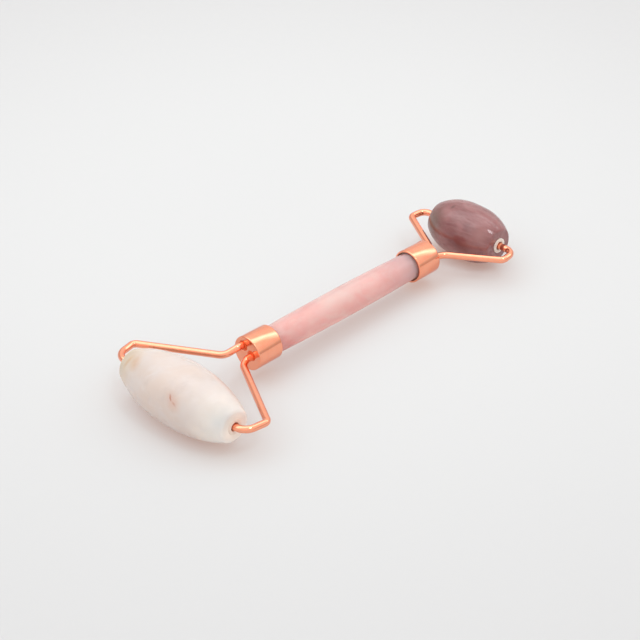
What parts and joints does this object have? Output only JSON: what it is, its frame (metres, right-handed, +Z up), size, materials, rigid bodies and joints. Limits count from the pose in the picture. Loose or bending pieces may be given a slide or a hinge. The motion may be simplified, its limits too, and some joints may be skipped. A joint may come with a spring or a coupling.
{
  "type": "face roller",
  "caption": "Double-ended face roller: a large and a small stone roller turn freely in wire yokes at either end of a slim stone handle with metal ferrules.",
  "frame": {"origin": "on the surface the rollers rest on, under the middle of the object", "axes": "+X along the handle towards the small roller, +Y along the roller axes towards the left arms, +Z up"},
  "size_m": [0.145, 0.0577, 0.0197],
  "materials": {
    "rose_quartz": "polished pink quartz with pale diagonal veins",
    "milky_quartz": "polished milky white quartz with warm iron tints",
    "mauve_quartz": "polished mauve stone with cloudy streaks",
    "rose_gold": "polished rose gold plating",
    "brass": "as cut",
    "nylon": "natural white, satin",
    "epoxy": "set adhesive"
  },
  "bodies": {
    "handle": {"handle_stone": "rose_quartz", "large_ferrule": "rose_gold", "large_anchor_disc": "brass", "large_ferrule_adhesive": "epoxy", "large_left_arm": "rose_gold", "large_right_arm": "rose_gold", "small_ferrule": "rose_gold", "small_anchor_disc": "brass", "small_ferrule_adhesive": "epoxy", "small_left_arm": "rose_gold", "small_right_arm": "rose_gold"},
    "large_roller": {"large_roller_stone": "milky_quartz", "large_roller_left_bush": "nylon", "large_roller_right_bush": "nylon"},
    "small_roller": {"small_roller_stone": "mauve_quartz", "small_roller_left_bush": "nylon", "small_roller_right_bush": "nylon"}
  },
  "joints": [
    {"name": "large_roller_spin", "type": "hinge", "parent": "handle", "child": "large_roller", "pos_m": [-0.06265, 0, 0.00985], "axis": [0, 1, 0], "continuous": true},
    {"name": "small_roller_spin", "type": "hinge", "parent": "handle", "child": "small_roller", "pos_m": [0.0633, 0, 0.0092], "axis": [0, 1, 0], "continuous": true}
  ]
}
